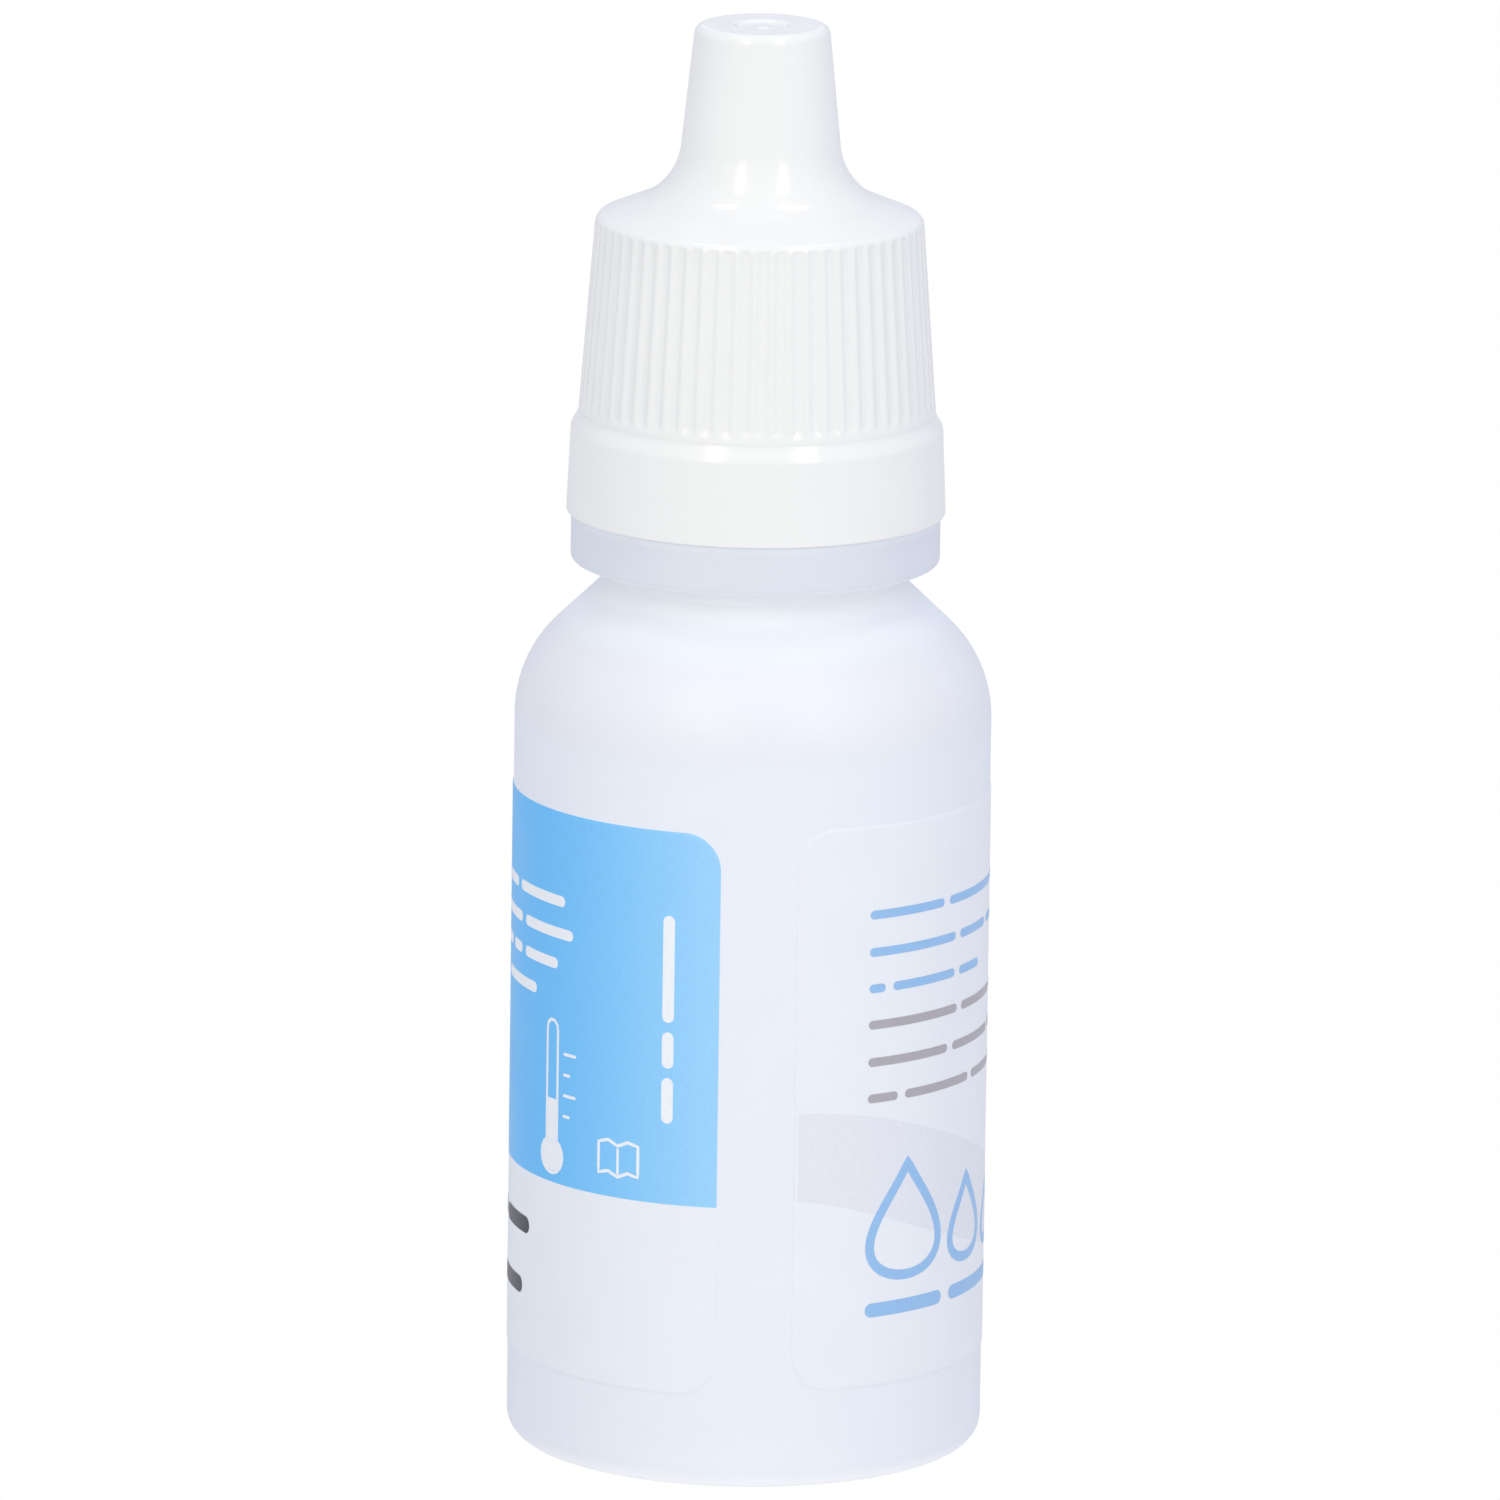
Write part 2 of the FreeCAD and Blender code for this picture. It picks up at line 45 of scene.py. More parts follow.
# How finely outlines are cut. An arc's step turns by arcTurn, within the shortest and longest
# lengths, and an arc takes at most the share mostOfRun of each run beside it.
cutSizes = {
    "arcTurn": 9, "arcShortest": 0.08, "arcLongest": 0.31, "mostOfRun": 0.49,
    "shortRun": 0.24,  # a run no longer than this gets no rows of its own
}


# Points of an outline whose corners (r, z, radius) are rounded. The arc that leads from one run to
# the next starts radius * tan(half the turn) before the corner and ends as far after it.
def roundedOutline(corners, closed):
    spots = np.array([complex(r, z) for r, z, _ in corners])
    count = len(spots)
    points = []
    for i, (_, _, radius) in enumerate(corners):
        here = spots[i]
        if radius == 0 or (not closed and i in (0, count - 1)):
            points.append(here)
            continue
        come, leave = here - spots[i - 1], spots[(i + 1) % count] - here
        turn = np.angle(leave / come)
        ahead, slope = come / abs(come), math.tan(abs(turn) / 2)
        reach = min(radius * slope, min(abs(come), abs(leave)) * cutSizes["mostOfRun"])
        step = min(max(radius * math.radians(cutSizes["arcTurn"]), cutSizes["arcShortest"]),
                   cutSizes["arcLongest"])
        steps = max(2, math.ceil(radius * abs(turn) / step))
        arm = 1j * np.sign(turn) * ahead * reach / slope  # from the arc's start to its centre
        centre = here - ahead * reach + arm
        points.extend(centre - arm * np.exp(1j * np.linspace(0, turn, steps + 1)))
    return np.array(points)


# The outline with more points on its runs: rowStep apart at most, which is a length or a function
# of (r, z), and one at edge from each end, so that a flat run keeps its own shade beside an arc.
def divided(points, closed, rowStep, edge=0.06):
    ends = np.append(points, points[0]) if closed else points
    rows = []
    for start, end in zip(ends[:-1], ends[1:]):
        length = abs(end - start)
        rows.append(np.array([start]))
        if length > max(4 * edge, cutSizes["shortRun"]):
            middle = (start + end) / 2
            step = rowStep(middle.real, middle.imag) if callable(rowStep) else rowStep
            parts = max(1, math.ceil((length - 2 * edge) / step))
            along = np.linspace(edge, length - edge, parts + 1) / length
            rows.append(start + (end - start) * along)
    if not closed:
        rows.append(np.array([points[-1]]))
    return np.concatenate(rows)


# The outline with those rows put in, each between the two neighbours whose run it lies on, unless
# it is nearer to one of them than the share least of that run.
def insertRows(outline, rows, least=0.02):
    for row in rows:
        start, run = outline[:-1], np.diff(outline)
        share = ((row - start) * np.conj(run)).real / np.abs(run) ** 2
        off = np.abs(row - start - np.clip(share, 0, 1) * run)
        spot = int(np.argmin(off))
        if least < share[spot] < 1 - least:
            outline = np.insert(outline, spot + 1, start[spot] + share[spot] * run[spot])
    return outline


# An object at the origin with those vertices in millimetres, doubles merged and faces outward.
def meshFrom(name, vertices, faces):
    double = 1e-8  # metres
    mesh = bpy.data.meshes.new(name)
    mesh.from_pydata((vertices.reshape(-1, 3) * mm).tolist(), [],
                     faces.reshape(-1, faces.shape[-1]).tolist())
    work = bmesh.new()
    work.from_mesh(mesh)
    bmesh.ops.remove_doubles(work, verts=work.verts, dist=double)
    bmesh.ops.dissolve_degenerate(work, edges=work.edges, dist=double)
    bmesh.ops.recalc_face_normals(work, faces=work.faces)
    work.to_mesh(mesh)
    work.free()
    mesh.shade_smooth()
    piece = bpy.data.objects.new(name, mesh)
    bpy.context.scene.collection.objects.link(piece)
    return piece


# Corner numbers of the quads of a grid of points, as rows of across points of along each.
def gridFaces(across, along, wrapAcross=False, wrapAlong=False):
    i = np.arange(across if wrapAcross else across - 1)
    j = np.arange(along if wrapAlong else along - 1)
    i, j = np.meshgrid(i, j, indexing="ij")
    nextI, nextJ = (i + 1) % across, (j + 1) % along
    return np.stack([i * along + j, nextI * along + j, nextI * along + nextJ, i * along + nextJ], -1)


# The outline turned about Z: x = r sin(angle), y = -r cos(angle). The angle starts at -Y and grows
# towards +X. change(r, z, angle) gives the surface's own r and z.
def lathe(name, outline, closed, segments, change=None):
    angle = np.arange(segments) * 2 * np.pi / segments
    angle, point = np.meshgrid(angle, outline, indexing="ij")
    r, z = point.real, point.imag
    if change:
        r, z = change(r, z, angle)
    vertices = np.stack([r * np.sin(angle), -r * np.cos(angle), z], -1)
    return meshFrom(name, vertices, gridFaces(segments, len(outline), True, closed))


# 0 below 0, 1 above 1 and 3x^2 - 2x^3 in between.
def smooth(x):
    x = np.clip(x, 0, 1)
    return x * x * (3 - 2 * x)


# Screw thread of the neck and the cap.
threadSizes = {
    "lead": 3.0, "base": 1.3, "crest": 0.6, "depth": 0.65,
    "fade": 0.1,  # turns over which it grows at each end
}


# How far the thread stands up: its middle climbs one lead a turn, and its two flanks slope from
# base to crest. It starts at +X, a quarter turn from -Y, or lag of a turn further on.
def threadHeight(z, angle, start, turns, lag):
    s = threadSizes
    turned = (angle / (2 * np.pi) - 0.25 - lag) % 1
    height = np.zeros_like(z)
    for lap in range(math.ceil(turns) + 1):
        way = turned + lap
        off = np.abs(z - start - s["lead"] * way)
        tooth = np.clip((s["base"] / 2 - off) / (s["base"] - s["crest"]) * 2, 0, 1)
        ends = np.clip(way / s["fade"], 0, 1) * np.clip((turns - way) / s["fade"], 0, 1)
        height = np.maximum(height, tooth * ends)
    return height * s["depth"]


# Bottle. Names that end in Edge are the radii of its edges and fillets.
bottleSizes = {
    "bodyRadius": 11.25, "bodyHeight": 35.04, "wall": 1.0, "baseEdge": 1.25,
    "standing": 1.5, "standingEdge": 0.3, "pushUp": 0.7, "pushUpSlope": 2.0, "pushUpEdge": 0.6,
    "pinchLength": 9.0, "pinchWidth": 0.5, "pinchHeight": 0.25, "pinchEnd": 0.3, "pinchSide": 0.15,
    "shoulderRadius": 5.95, "shoulderAngle": 46.2,
    "stem": 6.92, "stemTop": 42.52, "stemEdge": 0.25, "stemTopEdge": 0.12,
    "collar": 8.70, "collarTop": 44.90, "collarEdge": 0.25, "collarTopEdge": 0.06,
    "neck": 6.1, "neckTop": 57.2, "neckEdge": 0.1, "rimChamfer": 0.3, "rimEdge": 0.08,
    "bead": 7.3, "beadBottom": 46.65, "beadLand": 0.3, "beadTop": 47.85,
    "beadEdge": 0.08, "beadLandEdge": 0.15, "bore": 5.0, "boreEdge": 0.5,
    "threadStart": 51.10, "threadTurns": 1.5,
    "segments": 220, "row": 1.0, "threadRow": 0.14, "baseRow": 0.25,
    "outside": 0.1, "onWall": 0.02, "onBase": 0.001,
}


# The wall turned as one surface, from the pole under the base to the pole on the floor inside. The
# cone that follows the shoulder's arc is the arc's tangent, outside and inside. The pinch weld is a
# soft ridge across the push-up.
def bottlePiece(s):
    angle = math.radians(s["shoulderAngle"])
    innerRadius = s["bodyRadius"] - s["wall"]
    innerArc = s["shoulderRadius"] - s["wall"]

    def coneHeight(radius, arc, r):
        arcEnd = s["bodyHeight"] + arc * math.sin(angle)
        return arcEnd + (radius - arc * (1 - math.cos(angle)) - r) / math.tan(angle)

    foot = s["bodyRadius"] - s["baseEdge"] - s["standing"]
    floor = s["pushUp"] + s["wall"]
    half = math.tan(angle / 2)
    corners = [
        (0, s["pushUp"], 0),
        (foot - s["pushUpSlope"], s["pushUp"], s["pushUpEdge"]),
        (foot, 0, s["standingEdge"]),
        (s["bodyRadius"], 0, s["baseEdge"]),
        (s["bodyRadius"], s["bodyHeight"] + s["shoulderRadius"] * half, s["shoulderRadius"]),
        (s["stem"], coneHeight(s["bodyRadius"], s["shoulderRadius"], s["stem"]), s["stemEdge"]),
        (s["stem"], s["stemTop"], s["stemTopEdge"]),
        (s["collar"], s["stemTop"], s["collarEdge"]),
        (s["collar"], s["collarTop"], s["collarTopEdge"]),
        (s["neck"], s["collarTop"], s["neckEdge"]),
        (s["neck"], s["beadBottom"], s["beadEdge"]),
        (s["bead"], s["beadBottom"], s["beadEdge"]),
        (s["bead"], s["beadBottom"] + s["beadLand"], s["beadLandEdge"]),
        (s["neck"], s["beadTop"], s["neckEdge"]),
        (s["neck"], s["neckTop"] - s["rimChamfer"], s["neckEdge"]),
        (s["neck"] - s["rimChamfer"], s["neckTop"], s["rimEdge"]),
        (s["bore"], s["neckTop"], s["neckEdge"]),
        (s["bore"], coneHeight(innerRadius, innerArc, s["bore"]), s["boreEdge"]),
        (innerRadius, s["bodyHeight"] + innerArc * half, innerArc),
        (innerRadius, floor, s["baseEdge"]),
        (0, floor, 0),
    ]

    def onUnderside(z):
        return np.abs(z - s["pushUp"]) < s["onBase"]

    def rowStep(r, z):
        if onUnderside(z):
            return s["baseRow"]
        onThread = r > s["bore"] + s["outside"] and z > s["beadTop"]
        return s["threadRow"] if onThread else s["row"]

    def change(r, z, angle):
        onNeck = (np.abs(r - s["neck"]) < s["onWall"]) & (z > s["beadTop"])
        tall = threadHeight(z, angle, s["threadStart"], s["threadTurns"], 0)
        x, y = r * np.sin(angle), r * np.cos(angle)
        weld = (smooth((s["pinchWidth"] / 2 - np.abs(y)) / s["pinchSide"])
                * smooth((s["pinchLength"] / 2 - np.abs(x)) / s["pinchEnd"]))
        return r + tall * onNeck, z - s["pinchHeight"] * weld * onUnderside(z)

    outline = divided(roundedOutline(corners, False), False, rowStep)
    return lathe("bottle_shell", outline, False, s["segments"], change)


# Dropper insert: plug, flange and nozzle.
dropperSizes = {
    "neckTop": 57.2, "plug": 4.95, "plugInner": 4.15, "plugBottom": 49.7, "plugChamfer": 0.4,
    "beadRadius": 5.04, "beadHalf": 0.35, "beadSpacing": 2.2, "beadCount": 2,
    "flange": 6.0, "flangeTop": 58.1, "flangeEdge": 0.15, "funnel": 1.6,
    "nozzle": 2.75, "nozzleWall": 1.0, "nozzleFillet": 0.4,
    "tip": 1.888, "tipTop": 66.5, "tipEdge": 0.2, "mouth": 1.1, "mouthDepth": 1.3,
    "orifice": 0.25, "chamber": 1.093, "chamberTop": 64.5,
    "edge": 0.1, "fineEdge": 0.05, "bottomEdge": 0.08, "segments": 144, "row": 0.8,
}


# Nozzle, flange and plug as one closed outline round the fine orifice, with small beads that seal
# the plug in the neck's bore.
def dropperPiece(s):
    beads = []
    for lap in range(s["beadCount"], 0, -1):
        z = s["neckTop"] - lap * s["beadSpacing"]
        beads += [(s["plug"], z - s["beadHalf"], s["edge"]), (s["beadRadius"], z, s["edge"]),
                  (s["plug"], z + s["beadHalf"], s["edge"])]
    corners = [
        (s["orifice"], s["chamberTop"], s["fineEdge"]),
        (s["chamber"], s["chamberTop"], s["tipEdge"]),
        (s["nozzle"] - s["nozzleWall"], s["flangeTop"], s["nozzleFillet"]),
        (s["plugInner"], s["neckTop"] - s["funnel"], s["nozzleFillet"]),
        (s["plugInner"], s["plugBottom"], s["bottomEdge"]),
        (s["plug"] - s["plugChamfer"], s["plugBottom"], s["bottomEdge"]),
        (s["plug"], s["plugBottom"] + s["plugChamfer"], s["edge"]),
        *beads,
        (s["plug"], s["neckTop"], s["fineEdge"]),
        (s["flange"], s["neckTop"], s["fineEdge"]),
        (s["flange"], s["flangeTop"], s["flangeEdge"]),
        (s["nozzle"], s["flangeTop"], s["nozzleFillet"]),
        (s["tip"], s["tipTop"], s["tipEdge"]),
        (s["mouth"], s["tipTop"], s["edge"]),
        (s["orifice"], s["tipTop"] - s["mouthDepth"], s["fineEdge"]),
    ]
    outline = divided(roundedOutline(corners, True), True, s["row"])
    return lathe("dropper_nozzle", outline, True, s["segments"])


# Screw cap. The ribs stand between grooves, which fade out over footFade and headFade.
capSizes = {
    "foot": 49.673, "footEdge": 0.004, "lip": 0.42, "lipTop": 50.02,
    "skirt": 8.41, "skirtTop": 58.92, "skirtTopRadius": 7.715, "skirtEdge": 0.5,
    "cover": 3.936, "coverFoot": 60.47, "coverFillet": 3.2,
    "tip": 3.153, "tipTop": 68.1, "tipEdge": 0.45,
    "gate": 1.3, "gateDepth": 0.12, "gateEdge": 0.2,
    "stub": 0.35, "stubHeight": 0.07, "stubEdge": 0.04,
    "bore": 6.9, "upperBore": 6.45, "upperBottom": 56.6, "roof": 58.45,
    "seal": 5.65, "sealWidth": 0.5, "sealBottom": 58.1,
    "coverInner": 3.064, "coverInnerEdge": 0.15, "ceiling": 66.8, "ceilingRadius": 2.207,
    "ceilingEdge": 0.2, "pinRoot": 1.236, "pinTip": 0.353, "pinBottom": 65.45,
    "edge": 0.1, "lipEdge": 0.05, "sealEdge": 0.08,
    "threadStart": 51.50, "threadTurns": 1.25, "threadLag": 0.5,
    "ribs": 60, "grooveRadius": 0.3, "grooveDepth": 0.09, "ribFoot": 0.22, "ribHead": 0.05,
    "footFade": 0.45, "headFade": 0.3, "footRows": 8, "headRows": 5, "firstRow": 0.03,
    "segments": 480, "row": 1.5, "runEnd": 0.02,
    "boreRow": 0.3, "boreRowsFrom": 0.2, "boreRowsTo": 0.6,  # from the lip's top and the upper bore
    "onSkirt": 0.06, "skirtFrom": 0.01, "skirtPast": 0.1, "onBore": 0.02,
}


# One surface from the gate mark on top, down the outside and up the inside to the pin's tip. A
# groove's depth eases from its middle to nothing at grooveRadius to each side.
def capPiece(s):
    gateFloor = s["tipTop"] - s["gateDepth"]
    sealInner = s["seal"] - s["sealWidth"]
    corners = [
        (0, gateFloor + s["stubHeight"], 0),
        (s["stub"], gateFloor + s["stubHeight"], s["stubEdge"]),
        (s["stub"], gateFloor, s["stubEdge"]),
        (s["gate"] - s["gateDepth"], gateFloor, s["edge"]),
        (s["gate"], s["tipTop"], s["gateEdge"]),
        (s["tip"], s["tipTop"], s["tipEdge"]),
        (s["cover"], s["coverFoot"], s["coverFillet"]),
        (s["skirtTopRadius"], s["skirtTop"], s["skirtEdge"]),
        (s["skirt"], s["foot"], s["footEdge"]),
        (s["skirt"] - s["lip"], s["foot"], s["lipEdge"]),
        (s["skirt"] - s["lip"], s["lipTop"], s["lipEdge"]),
        (s["bore"], s["lipTop"], s["edge"]),
        (s["bore"], s["upperBottom"] - s["bore"] + s["upperBore"], s["edge"]),
        (s["upperBore"], s["upperBottom"], s["edge"]),
        (s["upperBore"], s["roof"], s["edge"]),
        (s["seal"], s["roof"], s["sealEdge"]),
        (s["seal"], s["sealBottom"], s["sealEdge"]),
        (sealInner, s["sealBottom"], s["sealEdge"]),
        (sealInner, s["roof"], s["sealEdge"]),
        (s["coverInner"], s["roof"], s["coverInnerEdge"]),
        (s["ceilingRadius"], s["ceiling"], s["ceilingEdge"]),
        (s["pinRoot"], s["ceiling"], s["edge"]),
        (s["pinTip"], s["pinBottom"], s["sealEdge"]),
        (0, s["pinBottom"], 0),
    ]
    tilt = (s["skirt"] - s["skirtTopRadius"]) / (s["skirtTop"] - s["foot"])
    foot, head = s["foot"] + s["ribFoot"], s["skirtTop"] - s["ribHead"]
    height = np.concatenate([
        np.linspace(s["foot"] + s["firstRow"], foot + s["footFade"], s["footRows"]),
        np.linspace(head - s["headFade"], head, s["headRows"]),
    ])
    skirtRows = s["skirt"] - (height - s["foot"]) * tilt + 1j * height
    boreRows = s["bore"] + 1j * np.arange(s["lipTop"] + s["boreRowsFrom"],
                                          s["upperBottom"] - s["boreRowsTo"], s["boreRow"])
    outline = divided(roundedOutline(corners, False), False, s["row"], s["runEnd"])
    outline = insertRows(insertRows(outline, skirtRows), boreRows)

    def change(r, z, angle):
        outer = s["skirt"] - (z - s["foot"]) * tilt
        onSkirt = ((np.abs(r - outer) < s["onSkirt"]) & (z > s["foot"] + s["skirtFrom"])
                   & (z < s["skirtTop"] + s["skirtPast"]))
        pitch = 2 * np.pi / s["ribs"]
        side = ((angle + pitch / 4) % pitch - pitch / 2) * outer  # way from the groove's middle
        reach = np.sqrt(np.maximum(s["grooveRadius"] ** 2 - side ** 2, 0)) / s["grooveRadius"]
        fade = smooth((z - foot) / s["footFade"]) * smooth((head - z) / s["headFade"])
        groove = s["grooveDepth"] * smooth(reach) * fade * onSkirt
        onBore = (np.abs(r - s["bore"]) < s["onBore"]) & (z > s["lipTop"]) & (z < s["upperBottom"])
        tall = threadHeight(z, angle, s["threadStart"], s["threadTurns"], s["threadLag"])
        return r - groove - tall * onBore, z

    return lathe("cap_shell", outline, False, s["segments"], change)


# Tamper ring.
ringSizes = {
    "bottom": 44.90, "foot": 8.935, "footEdge": 0.03, "top": 49.67, "topRadius": 8.41,
    "shoulder": 8.765, "shoulderHeight": 48.82, "shoulderRows": 16, "lastRow": 0.98,
    "inner": 7.85, "innerEdge": 0.1, "ledge": 7.42, "ledgeThickness": 0.9, "ledgeSlope": 0.45,
    "ledgeEdge": 0.08, "lugs": 8, "lugInner": 6.65, "lugAngle": 26.0, "lugSide": 1.5,
    "lugBottom": 45.65, "lugHeight": 0.8, "lugSlope": 0.4,
    "segments": 360, "row": 0.6, "lugRow": 0.15, "inward": 0.3, "onWall": 0.01,
}


# The band as one closed outline. Its shoulder eases in to the cap's skirt as 3x^2 - 2x^3, and its
# inner wall swells into a lug wherever the angle is in one.
def ringPiece(s):
    share = np.append(np.linspace(0, 1, s["shoulderRows"] + 1)[:-1], [s["lastRow"], 1])
    radius = s["shoulder"] - (s["shoulder"] - s["topRadius"]) * smooth(share)
    height = s["shoulderHeight"] + (s["top"] - s["shoulderHeight"]) * share
    ledgeBottom = s["top"] - s["ledgeThickness"]
    corners = [
        (s["inner"], s["bottom"], s["innerEdge"]),
        (s["foot"], s["bottom"], s["footEdge"]),
        *[(r, z, 0) for r, z in zip(radius, height)],
        (s["ledge"], s["top"], s["ledgeEdge"]),
        (s["ledge"], ledgeBottom, s["ledgeEdge"]),
        (s["inner"], ledgeBottom - s["ledgeSlope"], s["innerEdge"]),
    ]

    def rowStep(r, z):
        byLugs = r < s["foot"] - s["inward"] and z < s["shoulderHeight"]
        return s["lugRow"] if byLugs else s["row"]

    def change(r, z, angle):
        pitch = 2 * np.pi / s["lugs"]
        side = (angle - np.pi / 2 + pitch / 2) % pitch - pitch / 2  # way from the lug's middle
        inLug = smooth((math.radians(s["lugAngle"] / 2) - np.abs(side)) / math.radians(s["lugSide"]))
        tall = smooth((z - s["lugBottom"]) / s["lugSlope"]) * (z < s["lugBottom"] + s["lugHeight"])
        onWall = np.abs(r - s["inner"]) < s["onWall"]
        return r - (s["inner"] - s["lugInner"]) * inLug * tall * onWall, z

    outline = divided(roundedOutline(corners, True), True, rowStep)
    return lathe("ring_band", outline, True, s["segments"], change)


# Label film. A place on it is (s, z): s is the way round the film from the front, in millimetres,
# towards +X, and z the height. The film runs from right, round the back, to left.
labelSizes = {
    "radius": 11.295, "thickness": 0.04,
    "left": -1.40, "right": 2.25, "bottom": 4.70, "top": 31.78,
    "climb": 0.11,  # how far its right end lies above its middle, and its left end below
    "corner": 1.75, "edgeDrop": 0.03, "edgeWidth": 0.1,
    "cornerRows": 12, "middleRows": 22, "columns": 300, "closeColumns": [0, 0.0005, 0.001, 0.0016],
}


# Points at (s, z) on the film, which sinks by edgeDrop to its border. The way to the border is the
# shorter of those to the ends and to the rims, and near a corner what is left of its radius from
# its middle.
def onFilm(s, z, lift=0.0):
    size, corner = labelSizes, labelSizes["corner"]
    lap = 2 * np.pi * size["radius"]
    length, height = lap + size["left"] - size["right"], size["top"] - size["bottom"]
    way = (s - size["right"]) % lap
    toEnd = corner - length / 2 + np.abs(way - length / 2)
    toRim = corner - height / 2 + np.abs(z - size["bottom"] - height / 2)
    inside = (corner - np.hypot(np.maximum(toEnd, 0), np.maximum(toRim, 0))
              - np.minimum(np.maximum(toEnd, toRim), 0))
    r = size["radius"] + lift - size["edgeDrop"] * (1 - smooth(inside / size["edgeWidth"]))
    angle = s / size["radius"]
    climb = size["climb"] * (1 - 2 * way / length)
    return np.stack([r * np.sin(angle), -r * np.cos(angle), z + climb], -1)


# Steps up a rounded corner of the film, from its rim: radius * (1 - cos t).
def cornerBend(size):
    return size["corner"] * (1 - np.cos(np.linspace(0, np.pi / 2, size["cornerRows"])))


# A grid over the film's length and height, its ends drawn in where the corners are round.
def labelPiece(size):
    lap, corner, bend = 2 * np.pi * size["radius"], size["corner"], cornerBend(size)
    middle = np.linspace(size["bottom"] + corner, size["top"] - corner, size["middleRows"])[1:-1]
    rows = np.concatenate([size["bottom"] + bend, middle, (size["top"] - bend)[::-1]])
    toEdge = np.clip(corner - np.minimum(rows - size["bottom"], size["top"] - rows), 0, None)
    inset = corner - np.sqrt(np.maximum(corner ** 2 - toEdge ** 2, 0))
    close, even = np.array(size["closeColumns"]), np.linspace(0, 1, size["columns"] + 1)[1:-1]
    share = np.concatenate([close, even, 1 - close[::-1]])[:, None]
    start, end = size["right"] + inset, lap + size["left"] - inset
    s, z = start + share * (end - start), np.broadcast_to(rows, (len(share), len(rows)))
    piece = meshFrom("label_film", onFilm(s, z), gridFaces(len(share), len(rows)))
    thicken(piece, size["thickness"])
    return piece


# Which edges lie on the border: those that only one face uses.
def borderEdges(mesh):
    used = np.zeros(len(mesh.loops), int)
    mesh.loops.foreach_get("edge_index", used)
    return np.bincount(used, minlength=len(mesh.edges)) == 1


# Makes a closed shell of an open sheet round the bottle: its faces turned away from the bottle's
# axis, its border sharp, and its thickness laid inward.
def thicken(piece, thickness):
    mesh = piece.data
    middle, normal = np.zeros(3 * len(mesh.polygons)), np.zeros(3 * len(mesh.polygons))
    mesh.polygons.foreach_get("center", middle)
    mesh.polygons.foreach_get("normal", normal)
    if (middle * normal).reshape(-1, 3)[:, :2].sum() < 0:
        mesh.flip_normals()
    sharp = mesh.attributes.new("sharp_edge", "BOOLEAN", "EDGE")
    sharp.data.foreach_set("value", borderEdges(mesh))
    shell = piece.modifiers.new("thickness", "SOLIDIFY")
    shell.thickness, shell.offset, shell.use_even_offset = thickness * mm, -1, True


print("building pieces")
bottle = bottlePiece(bottleSizes)
dropper = dropperPiece(dropperSizes)
cap = capPiece(capSizes)
ring = ringPiece(ringSizes)
label = labelPiece(labelSizes)
for piece, body, replaced, slot in (
    (bottle, "bottle", "bottle", "natural_polyethylene"),
    (dropper, "bottle", "dropper_insert", "natural_polyethylene"),
    (label, "bottle", "label", "printed_film"),
    (ring, "tamper_ring", "tamper_ring", "white_plastic"),
    (cap, "screw_cap", "screw_cap", "white_plastic"),
):
    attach(piece, body)
    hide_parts(replaced)
    print(piece.name, len(piece.data.polygons))


# A node with its settings, and its inputs either linked or set to a value.
def node(tree, kind, links=None, **settings):
    made = tree.nodes.new(kind)
    for key, value in settings.items():
        setattr(made, key, value)
    for key, value in (links or {}).items():
        if isinstance(value, bpy.types.NodeSocket):
            tree.links.new(value, made.inputs[key])
        else:
            made.inputs[key].default_value = value
    return made


# The value as a share of the way from low to high.
def rangeOf(tree, value, low, high, toLow=0.0, toHigh=1.0, kind="SMOOTHSTEP"):
    links = {"Value": value, "From Min": low, "From Max": high, "To Min": toLow, "To Max": toHigh}
    return node(tree, "ShaderNodeMapRange", links, interpolation_type=kind).outputs["Result"]


# The first colour turned into the second by that share, or blended with it.
def mixColour(tree, share, first, second, blend="MIX"):
    links = {0: share, 6: first, 7: second}  # the mix node's factor and its two colours
    return node(tree, "ShaderNodeMix", links, data_type="RGBA", blend_type=blend).outputs[2]


# What the noise of every finish has in common. Most of it lies between noiseLow and noiseHigh.
noiseSizes = {
    "noiseLow": 0.3, "noiseHigh": 0.7, "detail": 2.0, "cloudDetail": 3.0, "driftGrain": 0.35,
}


# Soft noise of that grain per millimetre.
def noise(tree, place, grain, detail=noiseSizes["detail"]):
    links = {"Vector": place, "Scale": grain / mm, "Detail": detail}
    return node(tree, "ShaderNodeTexNoise", links).outputs["Fac"]


# The swell of that noise, carried to a value from low to high.
def noiseRange(tree, swell, low, high):
    return rangeOf(tree, swell, noiseSizes["noiseLow"], noiseSizes["noiseHigh"], low, high)


